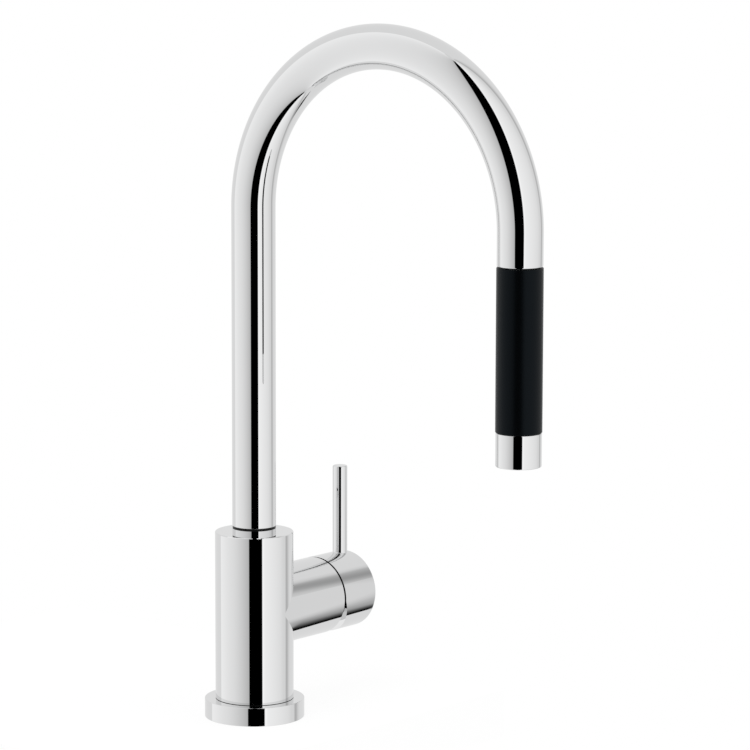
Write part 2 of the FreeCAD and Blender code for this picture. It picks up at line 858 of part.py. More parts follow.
def lever_form():
    """Form of the lever: the cap and its upright pin, blended, hollowed and relieved for the lean."""
    body = new_body("lever_form", z="lever_height")
    cap = new_sketch(body, "XZ_Plane", "cap_outline")
    outline(cap, [
        ("cap_start", "0"),
        ("cap_start", "housing_radius"),
        ("cap_end", "housing_radius"),
        ("cap_end", "0"),
    ])
    drum = body.newObject("PartDesign::Revolution", "cap_drum")
    drum.Profile = cap
    drum.ReferenceAxis = (cap, ["H_Axis"])
    drum.Angle = 360
    section = new_sketch(body, "XY_Plane", "handle_section")
    circle(section, "handle", "handle_diameter / 2", x="handle_reach")
    pin = body.newObject("PartDesign::Pad", "handle_pin")
    pin.Profile = section
    bind(pin, "Length", "handle_rise")
    doc.recompute()
    pin_radius = measure("handle_diameter / 2")
    blend = body.newObject("PartDesign::Fillet", "handle_flare")
    blend.Base = (pin, edges_between(pin.Shape, measure("housing_radius"), pin_radius))
    bind(blend, "Radius", "handle_blend")
    doc.recompute()
    top = body.newObject("PartDesign::Fillet", "handle_top")
    up = FreeCAD.Vector(0, 0, 1)
    top.Base = (blend, circles_of(blend.Shape, pin_radius, up, measure("handle_rise")))
    bind(top, "Radius", "handle_round")
    doc.recompute()
    rim = body.newObject("PartDesign::Fillet", "cap_rim")
    rim.Base = (top, flat_faces_at(top.Shape, measure("cap_end")))
    bind(rim, "Radius", "cap_round")
    hollow = new_sketch(body, "XZ_Plane", "cap_hollow")
    outline(hollow, [
        ("cap_start - edge_break", "0"),
        ("cap_start - edge_break", "cap_bore"),
        ("cap_floor", "cap_bore"),
        ("cap_floor", "boss_diameter / 2"),
        ("boss_start", "boss_diameter / 2"),
        ("boss_start", "0"),
    ])
    groove = body.newObject("PartDesign::Groove", "cap_inside")
    groove.Profile = hollow
    groove.ReferenceAxis = (hollow, ["H_Axis"])
    groove.Angle = 360
    lean = new_sketch(body, "XZ_Plane", "lean_outline")
    inner = "housing_reach"
    outline(lean, [
        (inner, "(lean_stop - (housing_reach - pivot_reach) * cos(lift_range)) / sin(lift_range)"),
        ("pivot_reach + (lean_stop + (housing_radius + edge_break) * sin(lift_range)) / cos(lift_range)",
         "-(housing_radius + edge_break)"),
        (inner, "-(housing_radius + edge_break)"),
    ])
    relief = body.newObject("PartDesign::Pocket", "lean_relief")
    relief.Profile = lean
    relief.Type = "ThroughAll"
    relief.Midplane = True
    return body


def lever_handle():
    """Lever with the socket of the stem, and the grub screw's rib, thread and plug recess."""
    rib_start = ("grub_reach - rib_width / 2", "-rib_width / 2", "lever_height - cap_bore - edge_break")
    rib = block("grub_rib", rib_start, ("cap_floor - grub_reach + rib_width / 2", "rib_width", "cap_bore"))
    half = "(stem_half + fit_gap)"
    socket = block("stem_socket", ("boss_start", f"-{half}", f"lever_height - {half}"),
                   ("stem_end - boss_start + clear_gap", f"2 * {half}", f"2 * {half}"))
    thread = rod("grub_thread", "Z", "grub_screw / 2", "housing_radius - stem_half",
                 x="grub_reach", z="lever_height - housing_radius")
    recess = rod("plug_recess", "Z", "plug_diameter / 2 + fit_gap", "housing_radius - plug_top",
                 x="grub_reach", z="lever_height - housing_radius")
    return cut("lever_handle", fused("lever_blank", lever_form(), rib), socket, thread, recess)


def lever_grub_screw():
    return rod("lever_grub_screw", "Z", "grub_screw / 2 - fit_gap", "grub_length",
               x="grub_reach", z="lever_height - grub_top - grub_length")


def lever_plug():
    return rod("lever_plug", "Z", "plug_diameter / 2", "plug_length",
               x="grub_reach", z="lever_height - plug_foot")


# Hose end and spray


def hose_pull():
    """Stretch of hose that runs out of the spout with the spray."""
    return on_spray_axis("hose_pull", [
        ("hose_bore / 2", "connector_top"),
        ("hose_radius", "connector_top"),
        ("hose_radius", "bend_height"),
        ("hose_bore / 2", "bend_height"),
    ])


def hose_ferrule():
    return on_spray_axis("hose_ferrule", [
        ("hose_radius", "connector_top"),
        ("ferrule_radius", "connector_top"),
        ("ferrule_radius", "connector_top + ferrule_length"),
        ("hose_radius", "connector_top + ferrule_length"),
    ])


def hose_connector():
    """End fitting of the hose: a flange that the collar traps, a nipple below and a tail in the hose."""
    return on_spray_axis("hose_connector", [
        ("connector_bore / 2", "nipple_end"),
        ("nipple_diameter / 2", "nipple_end"),
        ("nipple_diameter / 2", "connector_seat"),
        ("collar_radius - clear_gap", "connector_seat"),
        ("collar_radius - clear_gap", "connector_top"),
        ("hose_bore / 2 - fit_gap", "connector_top"),
        ("hose_bore / 2 - fit_gap", "connector_top + ferrule_length"),
        ("connector_bore / 2", "connector_top + ferrule_length"),
    ])


def spray_collar():
    """Tapered neck that screws into the core and traps the hose connector."""
    return on_spray_axis("spray_collar", [
        ("neck_bore", "collar_bottom"),
        ("collar_radius", "collar_bottom"),
        ("collar_radius", "grip_top"),
        ("neck_radius", "grip_top"),
        ("neck_radius", "dock_height"),
        ("neck_tip", "neck_top"),
        ("neck_bore", "neck_top"),
    ])


def spray_core():
    """Inner body of the spray: chamber of the connector, seat of the valve and tail for the nozzle."""
    return on_spray_axis("spray_core", [
        ("water_bore / 2", "core_bottom"),
        ("tail_radius", "core_bottom"),
        ("tail_radius", "tail_ring_height - ring_groove / 2"),
        ("tail_radius - ring_section", "tail_ring_height - ring_groove / 2"),
        ("tail_radius - ring_section", "tail_ring_height + ring_groove / 2"),
        ("tail_radius", "tail_ring_height + ring_groove / 2"),
        ("tail_radius", "grip_bottom"),
        ("core_radius", "grip_bottom"),
        ("core_radius", "grip_top"),
        ("collar_radius + fit_gap", "grip_top"),
        ("collar_radius + fit_gap", "chamber_floor"),
        ("nipple_bore", "chamber_floor"),
        ("nipple_bore", "valve_floor"),
        ("water_bore / 2", "valve_floor"),
    ])


def tip_o_ring():
    return o_ring("tip_o_ring", "tip_bore", y="-2 * bend_radius", z="tail_ring_height")


def hose_washer():
    return on_spray_axis("hose_washer", [
        ("nipple_bore", "chamber_floor"),
        ("collar_radius", "chamber_floor"),
        ("collar_radius", "washer_top"),
        ("nipple_bore", "washer_top"),
    ])


def check_valve():
    """Non-return valve, a bought-in cartridge with a flow slot through its core."""
    return on_spray_axis("check_valve", [
        ("water_bore / 4", "valve_floor"),
        ("nipple_bore - fit_gap", "valve_floor"),
        ("nipple_bore - fit_gap", "valve_top"),
        ("water_bore / 4", "valve_top"),
    ])


def spray_grip():
    return on_spray_axis("spray_grip", [
        ("core_radius + fit_gap", "grip_bottom"),
        ("grip_radius - edge_break", "grip_bottom"),
        ("grip_radius", "grip_bottom + edge_break"),
        ("grip_radius", "grip_top - edge_break"),
        ("grip_radius - edge_break", "grip_top"),
        ("core_radius + fit_gap", "grip_top"),
    ])


def spray_tip():
    """Nozzle ring with a lip that holds the aerator."""
    return on_spray_axis("spray_tip", [
        ("lip_radius", "tip_bottom"),
        ("tip_radius - tip_round", "tip_bottom"),
        ("tip_radius", "tip_bottom + tip_round"),
        ("tip_radius", "grip_bottom - tip_round"),
        ("tip_radius - tip_round", "grip_bottom"),
        ("tip_bore", "grip_bottom"),
        ("tip_bore", "lip_top"),
        ("lip_radius", "lip_top"),
    ])


def aerator_housing():
    return on_spray_axis("aerator_housing", [
        ("aerator_bore", "lip_top"),
        ("aerator_radius", "lip_top"),
        ("aerator_radius", "aerator_top"),
        ("aerator_bore", "aerator_top"),
    ])


def holed_disc(label, radius, thickness, start, rim):
    """Make a round plate with as many rings of holes as its rim leaves room for.

    Each ring has six more holes than the one inside it.
    """
    rings = int(measure(f"({radius} - {rim} - grid_hole / 2) / grid_pitch"))
    body = new_body(label, y="-2 * bend_radius", z=start)
    face = new_sketch(body, "XY_Plane", f"{label}_face")
    circle(face, "plate", radius)
    plate = body.newObject("PartDesign::Pad", f"{label}_plate")
    plate.Profile = face
    bind(plate, "Length", thickness)
    for ring in range(1, rings + 1):
        spot = new_sketch(body, "XY_Plane", f"{label}_spot{ring}")
        circle(spot, "hole", "grid_hole / 2", x=f"{ring} * grid_pitch")
        hole = body.newObject("PartDesign::Pocket", f"{label}_hole{ring}")
        hole.Profile = spot
        hole.Type = "ThroughAll"
        hole.Midplane = True
        doc.recompute()
        pattern = body.newObject("PartDesign::PolarPattern", f"{label}_ring{ring}")
        pattern.Originals = [hole]
        pattern.Axis = (spot, ["N_Axis"])
        pattern.Angle = 360
        pattern.Occurrences = 6 * ring
        body.Tip = pattern
        doc.recompute()
    return body


def aerator_grid():
    """Grid at the mouth of the nozzle that straightens the jet."""
    return holed_disc("aerator_grid", "aerator_bore - fit_gap", "grid_thickness", "lip_top", "grid_rim")


def aerator_strainer():
    """Coarse strainer above the grid."""
    return holed_disc("aerator_strainer", "aerator_bore - fit_gap", "strainer_thickness",
                      "aerator_top - strainer_thickness", "strainer_rim")


def aerator_seal():
    return on_spray_axis("aerator_seal", [
        ("aerator_bore - aerator_wall", "aerator_top"),
        ("aerator_radius", "aerator_top"),
        ("aerator_radius", "core_bottom"),
        ("aerator_bore - aerator_wall", "core_bottom"),
    ])


PIECES = [
    base_flange, base_gasket, joint_seal, flange_o_ring, faucet_body, swivel_bush, spout_stop_screw,
    valve_manifold,
    cartridge_base, cartridge_seals, fixed_disc, cartridge_case, cartridge_nut, cartridge_cover_ring,
    cartridge_turret, stem_pin, moving_disc, disc_carrier, lever_handle, lever_stem, lever_grub_screw,
    lever_plug, spout_tube, spout_spigot, spray_dock, spray_hose, hose_pull, hose_ferrule, hose_connector,
    spray_collar, spray_core, hose_washer, check_valve, spray_grip, spray_tip, tip_o_ring,
    aerator_housing, aerator_grid, aerator_strainer, aerator_seal,
]


def check_tube(node, outer, inner, straight):
    """Compare a bent tube's volume with its section times its length."""
    section = math.pi * (measure(outer) ** 2 - measure(inner) ** 2)
    expected = section * (measure(straight) + math.pi * measure("bend_radius"))
    if abs(node.Shape.Volume / expected - 1) > TOLERANCE:
        raise RuntimeError(f"{node.Label} is not its section times its length")


def main():
    for make in PIECES:
        keep(make())
    doc.recompute()
    for thing in doc.Objects:
        if "Invalid" in thing.State or "Error" in thing.State:
            raise RuntimeError(f"{thing.Label} did not build: {thing.State}")
    by_label = {node.Label: node for node in nodes}
    for label, node in by_label.items():
        if node.Shape.isNull() or not node.Shape.isValid():
            raise RuntimeError(f"{label} has no valid shape")
    check_tube(by_label["spout_tube"], "tube_radius", "tube_bore", "bend_height - tube_foot + leg_drop")
    check_tube(by_label["spray_hose"], "hose_radius", "hose_bore / 2", "bend_height - deck_gap")
    os.makedirs("parts", exist_ok=True)
    for label, node in by_label.items():
        node.Shape.exportStep(f"parts/{label}.step")
        print(f"{label}: {len(node.Shape.Solids)} solid, {node.Shape.Volume:.0f} cubic mm")


main()
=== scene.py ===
"""Dressed scene of a pull-out kitchen faucet: outer pieces, finishes, studio and camera."""

import logging
import math
from dataclasses import dataclass
from enum import Enum
from typing import Sequence

import bpy
from mathutils import Euler, Matrix


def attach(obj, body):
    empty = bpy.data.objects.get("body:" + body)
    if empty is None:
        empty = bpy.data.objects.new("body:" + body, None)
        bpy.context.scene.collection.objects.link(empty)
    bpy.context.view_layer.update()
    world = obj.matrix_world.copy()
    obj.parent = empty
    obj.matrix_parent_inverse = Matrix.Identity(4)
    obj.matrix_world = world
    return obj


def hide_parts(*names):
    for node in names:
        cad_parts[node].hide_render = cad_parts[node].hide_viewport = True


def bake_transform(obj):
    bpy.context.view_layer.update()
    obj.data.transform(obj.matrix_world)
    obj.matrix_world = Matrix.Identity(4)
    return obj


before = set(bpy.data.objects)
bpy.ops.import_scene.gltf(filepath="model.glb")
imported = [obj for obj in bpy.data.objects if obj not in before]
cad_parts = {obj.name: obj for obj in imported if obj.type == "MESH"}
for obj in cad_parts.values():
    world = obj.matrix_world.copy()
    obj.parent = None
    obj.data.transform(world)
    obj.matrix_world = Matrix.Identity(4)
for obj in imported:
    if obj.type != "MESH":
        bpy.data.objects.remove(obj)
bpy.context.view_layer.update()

log = logging.getLogger("faucet")

MM = 0.001
EDGE_ANGLE = math.radians(30)
EDGE_STEPS = 3
MERGE_GAP = 1e-7
LEVEL_GAP = 1e-5
HOSE_LAY = "hose_lay"

# Colour sockets of a Mix node by number, because their names repeat for each kind of value
MIX_FACTOR = 0
MIX_FIRST = 6
MIX_SECOND = 7
MIX_RESULT = 2

Colour = tuple[float, float, float]
Point = tuple[float, float, float]
Pair = tuple[float, float]
Socket = bpy.types.NodeSocket

ORIGIN: Point = (0.0, 0.0, 0.0)


class Slot(Enum):
    """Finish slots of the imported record."""

    CHROME = "chrome"
    GRIP = "grip_rubber"
    BLACK = "black_plastic"
    GREY = "grey_plastic"
    BRASS = "brass"
    STEEL = "steel"
    CERAMIC = "ceramic"
    SEAL = "seal_rubber"
    BRAID = "hose_braid"


# Node graphs


class Graph:
    """Node tree under construction, with short calls to add nodes and join them."""

    def __init__(self, tree: bpy.types.NodeTree) -> None:
        """Take over a tree and clear it."""
        self.tree = tree
        tree.nodes.clear()

    def add(self, kind: str, **settings: object) -> bpy.types.Node:
        """Add a node.

        Args:
            kind: the node's type name.
            settings: attributes to set on the node.

        Returns:
            The new node.
        """
        node = self.tree.nodes.new(kind)
        for name, value in settings.items():
            setattr(node, name, value)
        return node

    def join(self, source: Socket, target: Socket) -> None:
        """Link an output to an input."""
        self.tree.links.new(source, target)

    def math(self, operation: str, first: Socket | float, second: Socket | float = 0.0) -> Socket:
        """Add a Math node.

        Args:
            operation: the node's operation.
            first: a socket or a number.
            second: a socket or a number.

        Returns:
            The node's output.
        """
        node = self.add("ShaderNodeMath", operation=operation)
        for socket, value in zip(node.inputs, (first, second)):
            if isinstance(value, (int, float)):
                socket.default_value = value
            else:
                self.join(value, socket)
        return node.outputs[0]


def new_group(name: str, inputs: Sequence[tuple[str, str]], outputs: Sequence[str]) -> Graph:
    """Start a shader node group.

    Args:
        name: the group's name.
        inputs: name and socket type of each input.
        outputs: names of the outputs, which are plain values.

    Returns:
        The group's graph, with its input and output nodes not yet made.
    """
    tree = bpy.data.node_groups.new(name, "ShaderNodeTree")
    for label, kind in inputs:
        tree.interface.new_socket(label, in_out="INPUT", socket_type=kind)
    for label in outputs:
        tree.interface.new_socket(label, in_out="OUTPUT", socket_type="NodeSocketFloat")
    return Graph(tree)


class Effects:
    """Surface effects that the finishes use, each as one node group."""

    FINE_DETAIL = 3.0
    BROAD_DETAIL = 2.0
    BROAD_SCALE = 0.06

    def __init__(self) -> None:
        """Build every group once."""
        self.grain = self._grain()
        self.braid = self._braid()

    def _grain(self) -> bpy.types.NodeTree:
        """Make the group with a fine and a broad mottle, which a stretch can draw into lines."""
        graph = new_group(
            "surface_grain",
            [
                ("Vector", "NodeSocketVector"),
                ("Scale", "NodeSocketFloat"),
                ("Stretch", "NodeSocketVector"),
            ],
            ["Fine", "Broad"],
        )
        given = graph.add("NodeGroupInput")
        result = graph.add("NodeGroupOutput")
        drawn = graph.add("ShaderNodeVectorMath", operation="MULTIPLY")
        graph.join(given.outputs["Vector"], drawn.inputs[0])
        graph.join(given.outputs["Stretch"], drawn.inputs[1])
        fine = graph.add("ShaderNodeTexNoise")
        fine.inputs["Detail"].default_value = self.FINE_DETAIL
        graph.join(drawn.outputs[0], fine.inputs["Vector"])
        graph.join(given.outputs["Scale"], fine.inputs["Scale"])
        broad = graph.add("ShaderNodeTexNoise")
        broad.inputs["Detail"].default_value = self.BROAD_DETAIL
        graph.join(given.outputs["Vector"], broad.inputs["Vector"])
        broad_scale = graph.math("MULTIPLY", given.outputs["Scale"], self.BROAD_SCALE)
        graph.join(broad_scale, broad.inputs["Scale"])
        graph.join(fine.outputs[0], result.inputs["Fine"])
        graph.join(broad.outputs[0], result.inputs["Broad"])
        return graph.tree

    def _braid(self) -> bpy.types.NodeTree:
        """Make the group with crossing strands round a hose's axis, over and under in turn."""
        graph = new_group(
            "hose_weave",
            [
                ("Vector", "NodeSocketVector"),
                ("Strands", "NodeSocketFloat"),
                ("Pitch", "NodeSocketFloat"),
            ],
            ["Height"],
        )
        given = graph.add("NodeGroupInput")
        result = graph.add("NodeGroupOutput")
        apart = graph.add("ShaderNodeSeparateXYZ")
        graph.join(given.outputs["Vector"], apart.inputs[0])
        turn = graph.math("ARCTAN2", apart.outputs["Y"], apart.outputs["X"])
        lap = graph.math("MULTIPLY", turn, given.outputs["Strands"])
        climb = graph.math("DIVIDE", apart.outputs["Z"], given.outputs["Pitch"])
        left = graph.math("ADD", lap, climb)
        right = graph.math("SUBTRACT", lap, climb)
        left_wave = graph.math("SINE", left)
        right_wave = graph.math("SINE", right)
        over = graph.math("GREATER_THAN", graph.math("MULTIPLY", left_wave, right_wave), 0.0)
        under = graph.math("SUBTRACT", 1.0, over)
        first = graph.math("MULTIPLY", graph.math("ABSOLUTE", left_wave), over)
        second = graph.math("MULTIPLY", graph.math("ABSOLUTE", right_wave), under)
        graph.join(graph.math("ADD", first, second), result.inputs["Height"])
        return graph.tree


# Finishes


@dataclass(frozen=True)
class Finish:
    """One finish: two near colours, a range of gloss and a fine relief, mixed by the surface grain.

    Attributes:
        slot: the slot it fills.
        colour: base colour where the fine mask is low.
        shade: base colour where the fine mask is high.
        gloss: least and greatest roughness, by the broad mask.
        grain: scale of the grain.
        relief: depth of the relief, in metres.
        metallic: share of metal.
        specular: level of the reflections.
        stretch: how much finer the grain is along each axis.
        sheen: tint of the reflections.
    """

    slot: Slot
    colour: Colour
    shade: Colour
    gloss: Pair
    grain: float
    relief: float
    metallic: float = 0.0
    specular: float = 0.5
    stretch: Point = (1.0, 1.0, 1.0)
    sheen: Colour = (1.0, 1.0, 1.0)

    def build(self, effects: Effects) -> bpy.types.Material:
        """Make the material.

        Args:
            effects: the shared node groups.

        Returns:
            The material, named for its slot.
        """
        material = bpy.data.materials.new(self.slot.value)
        material.use_nodes = True
        graph = Graph(material.node_tree)
        place = graph.add("ShaderNodeTexCoord")
        shader = graph.add("ShaderNodeBsdfPrincipled")
        shader.inputs["Metallic"].default_value = self.metallic
        shader.inputs["Specular IOR Level"].default_value = self.specular
        shader.inputs["Specular Tint"].default_value = (*self.sheen, 1.0)
        fine, broad = self.masks(graph, place.outputs["Object"], effects)
        tint = graph.add("ShaderNodeMix", data_type="RGBA")
        tint.inputs[MIX_FIRST].default_value = (*self.colour, 1.0)
        tint.inputs[MIX_SECOND].default_value = (*self.shade, 1.0)
        graph.join(fine, tint.inputs[MIX_FACTOR])
        graph.join(tint.outputs[MIX_RESULT], shader.inputs["Base Color"])
        gloss = graph.add("ShaderNodeMapRange")
        gloss.inputs["To Min"].default_value = self.gloss[0]
        gloss.inputs["To Max"].default_value = self.gloss[1]
        graph.join(broad, gloss.inputs["Value"])
        graph.join(gloss.outputs[0], shader.inputs["Roughness"])
        if self.relief > 0:
            bump = graph.add("ShaderNodeBump")
            bump.inputs["Distance"].default_value = self.relief
            graph.join(fine, bump.inputs["Height"])
            graph.join(bump.outputs[0], shader.inputs["Normal"])
        output = graph.add("ShaderNodeOutputMaterial")
        graph.join(shader.outputs[0], output.inputs["Surface"])
        return material

    def masks(self, graph: Graph, place: Socket, effects: Effects) -> tuple[Socket, Socket]:
        """Add the masks that mix the finish.

        Args:
            graph: the material's graph.
            place: the point on the piece.
            effects: the shared node groups.

        Returns:
            The fine mask and the broad mask.
        """
        mottle = graph.add("ShaderNodeGroup", node_tree=effects.grain)
        graph.join(place, mottle.inputs["Vector"])
        mottle.inputs["Scale"].default_value = self.grain
        mottle.inputs["Stretch"].default_value = self.stretch
        return mottle.outputs["Fine"], mottle.outputs["Broad"]


@dataclass(frozen=True)
class BraidFinish(Finish):
    """Woven sleeve of the hose, whose strands cross round the hose's own axis, with painted shade
    between the strands.

    Attributes:
        strands: pairs of strands each way round.
        pitch: rise of a strand for one radian of the weave, in metres.
    """

    strands: float = 10.0
    pitch: float = 0.0008

    def masks(self, graph: Graph, place: Socket, effects: Effects) -> tuple[Socket, Socket]:
        """Add the weave as the fine mask and the mottle as the broad one. The fine mask also sets the
        base colour, near black between the strands and grey on their crests, which is painted shade in
        the gaps.

        Args:
            graph: the material's graph.
            place: the point on the piece.
            effects: the shared node groups.

        Returns:
            The fine mask and the broad mask.
        """
        broad = super().masks(graph, place, effects)[1]
        lay = graph.add("ShaderNodeAttribute", attribute_name=HOSE_LAY)
        weave = graph.add("ShaderNodeGroup", node_tree=effects.braid)
        graph.join(lay.outputs["Vector"], weave.inputs["Vector"])
        weave.inputs["Strands"].default_value = self.strands
        weave.inputs["Pitch"].default_value = self.pitch
        # The weave's height also mixes the base colour: painted shade between the strands, paler on
        # their crests.
        return weave.outputs["Height"], broad


FINISHES = (
    Finish(
        Slot.CHROME, (0.78, 0.78, 0.78), (0.77, 0.775, 0.78), gloss=(0.01, 0.022), grain=900.0,
        relief=0.0, metallic=1.0),
    Finish(
        Slot.GRIP, (0.0006, 0.0008, 0.001), (0.0009, 0.0011, 0.0013), gloss=(0.3, 0.36), grain=5000.0,
        relief=1e-6, specular=0.125, sheen=(0.66, 0.84, 1.0)),
    Finish(
        Slot.BLACK, (0.002, 0.002, 0.002), (0.004, 0.004, 0.004), gloss=(0.3, 0.42), grain=3000.0,
        relief=4e-6, specular=0.2),
    Finish(
        Slot.GREY, (0.36, 0.37, 0.36), (0.40, 0.41, 0.40), gloss=(0.35, 0.5), grain=3000.0,
        relief=4e-6),
    Finish(
        Slot.BRASS, (0.60, 0.40, 0.12), (0.70, 0.49, 0.18), gloss=(0.2, 0.34), grain=500.0,
        relief=3e-6, metallic=1.0, stretch=(1.0, 1.0, 12.0)),
    Finish(
        Slot.STEEL, (0.50, 0.51, 0.52), (0.60, 0.61, 0.62), gloss=(0.2, 0.34), grain=500.0,
        relief=3e-6, metallic=1.0, stretch=(12.0, 1.0, 1.0)),
    Finish(
        Slot.CERAMIC, (0.72, 0.70, 0.66), (0.78, 0.76, 0.72), gloss=(0.16, 0.26), grain=2500.0,
        relief=1e-6),
    Finish(
        Slot.SEAL, (0.003, 0.003, 0.003), (0.006, 0.006, 0.006), gloss=(0.5, 0.65), grain=2500.0,
        relief=6e-6, specular=0.2),
    # Braid: near black where the weave is low, between the strands, and grey on the crests: painted
    # shade in the gaps.
    BraidFinish(
        Slot.BRAID, (0.006, 0.006, 0.007), (0.07, 0.07, 0.074), gloss=(0.4, 0.6), grain=2500.0,
        relief=0.0003),
)


# Modelling


def start_bench() -> None:
    """Leave edit mode and deselect everything, so that the next operator acts on new work only."""
    if bpy.context.object and bpy.context.object.mode != "OBJECT":
        bpy.ops.object.mode_set(mode="OBJECT")
    bpy.ops.object.select_all(action="DESELECT")


def pull_ring(shift: float, scale: float = 1.0, height: float = 0.0) -> None:
    """Extrude the selected ring along the spindle and scale it.

    Args:
        shift: distance along the spindle, in metres.
        scale: new radius as a share of the old one.
        height: the new ring's place on the spindle, in metres, which matters only if it is scaled.
    """
    bpy.ops.mesh.extrude_edges_move(TRANSFORM_OT_translate={"value": (0, 0, shift)})
    if scale != 1:
        bpy.ops.transform.resize(value=(scale, scale, 1), center_override=(0, 0, height))


def start_ring(name: str, radius: float, height: float, sides: int) -> bpy.types.Object:
    """Add a circle on the spindle and open it for editing, all selected.

    Args:
        name: the piece's name.
        radius: the circle's radius, in millimetres.
        height: its place on the spindle, in millimetres.
        sides: its number of sides.

    Returns:
        The new piece, in edit mode.
    """
    start_bench()
    spot = (0, 0, height * MM)
    bpy.ops.mesh.primitive_circle_add(vertices=sides, radius=radius * MM, location=spot)
    piece = bpy.context.object
    piece.name = name
    piece.data.name = name
    bpy.ops.object.transform_apply(location=True, rotation=True, scale=True)
    bpy.ops.object.mode_set(mode="EDIT")
    bpy.ops.mesh.select_mode(type="EDGE")
    bpy.ops.mesh.select_all(action="SELECT")
    return piece


def face_outwards() -> None:
    """Merge doubles, point all faces outwards and leave edit mode."""
    bpy.ops.mesh.select_all(action="SELECT")
    bpy.ops.mesh.remove_doubles(threshold=MERGE_GAP)
    bpy.ops.mesh.normals_make_consistent(inside=False)
    bpy.ops.object.mode_set(mode="OBJECT")


def soften_edges(piece: bpy.types.Object, width: float) -> None:
    """Shade smooth and round the sharp edges.

    Args:
        piece: the piece, which is active.
        width: width of the rounding, in millimetres.
    """
    bpy.ops.object.shade_smooth()
    rounding = piece.modifiers.new("rounding", "BEVEL")
    rounding.width = width * MM
    rounding.segments = EDGE_STEPS
    rounding.limit_method = "ANGLE"
    rounding.angle_limit = EDGE_ANGLE
    rounding.harden_normals = True
    bpy.ops.object.modifier_apply(modifier=rounding.name)


def turned_piece(
    name: str, section: Sequence[Pair], *, edge: float, centre: Point = ORIGIN, sides: int = 160
) -> bpy.types.Object:
    """Model a turned ring by pulling a circle through its section.

    Args:
        name: the piece's name.
        section: radius and height of each corner of the closed section, in millimetres.
        edge: width of the rounded edges, in millimetres, or 0 for none.
        centre: foot of the upright spindle, in millimetres.
        sides: number of sides round the spindle.

    Returns:
        The piece, at its place.
    """
    radius, height = section[0]
    piece = start_ring(name, radius, height, sides)
    for next_radius, next_height in section[1:]:
        pull_ring((next_height - height) * MM, next_radius / radius, next_height * MM)
        radius, height = next_radius, next_height
    bpy.ops.mesh.select_all(action="DESELECT")
    bpy.ops.mesh.select_non_manifold()
    bpy.ops.mesh.bridge_edge_loops()
    face_outwards()
    piece.location = [value * MM for value in centre]
    bpy.ops.object.transform_apply(location=True, rotation=True, scale=True)
    if edge > 0:
        soften_edges(piece, edge)
    return piece


class Workshop:
    """Finishes by slot, and the dressing of pieces and carried-over nodes with them."""

    def __init__(self) -> None:
        """Build the shared effects and every finish."""
        effects = Effects()
        self.materials = {finish.slot: finish.build(effects) for finish in FINISHES}

    def coat(self, thing: bpy.types.Object, slot: Slot) -> None:
        """Give an object one finish all over."""
        thing.data.materials.clear()
        thing.data.materials.append(self.materials[slot])

    def dress(self, piece: bpy.types.Object, slot: Slot, *nodes: str) -> None:
        """Finish a new piece and let it stand for CAD nodes.

        Args:
            piece: the new piece.
            slot: its finish.
            nodes: the nodes it replaces.
        """
        self.coat(piece, slot)
        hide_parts(*nodes)
        faces = len(piece.data.polygons)
        log.info("%s: %d faces, stands for %s", piece.name, faces, ", ".join(nodes))

    def dress_nodes(self, slot: Slot, *names: str) -> None:
        """Finish nodes that are carried over as they are.

        Args:
            slot: their finish.
            names: the nodes.
        """
        for name in names:
            self.coat(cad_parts[name], slot)
            log.info("%s: carried over in %s", name, slot.value)


# Sub-assemblies


@dataclass(frozen=True)
class BaseAndColumn:
    """Deck ring, column with its side housing, and what is fixed in them. Lengths are in millimetres.

    Attributes:
        groove: inner radius, outer radius and depth of the gasket's groove.
    """

    ring_radius: float = 30.15
    ring_height: float = 11.3
    ring_bore: float = 21.5
    groove: tuple[float, float, float] = (23.0, 27.55, 2.0)
    edge: float = 0.35
    sides: int = 192

    def build(self, shop: Workshop) -> None:
        """Model the deck ring and dress the base."""
        inner, outer, depth = self.groove
        ring = turned_piece("deck_ring", [
            (self.ring_bore, 0.0),
            (inner, 0.0),
            (inner, depth),
            (outer, depth),
            (outer, 0.0),
            (self.ring_radius, 0.0),
            (self.ring_radius, self.ring_height),
            (self.ring_bore, self.ring_height),
        ], edge=self.edge, sides=self.sides)
        shop.dress(ring, Slot.CHROME, "base_flange")
        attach(ring, "base")
        shop.dress_nodes(Slot.CHROME, "faucet_body")
        shop.dress_nodes(Slot.SEAL, "base_gasket", "joint_seal", "flange_o_ring")
        shop.dress_nodes(Slot.BRASS, "valve_manifold")
        shop.dress_nodes(Slot.STEEL, "spout_stop_screw")
        shop.dress_nodes(Slot.BLACK, "swivel_bush")


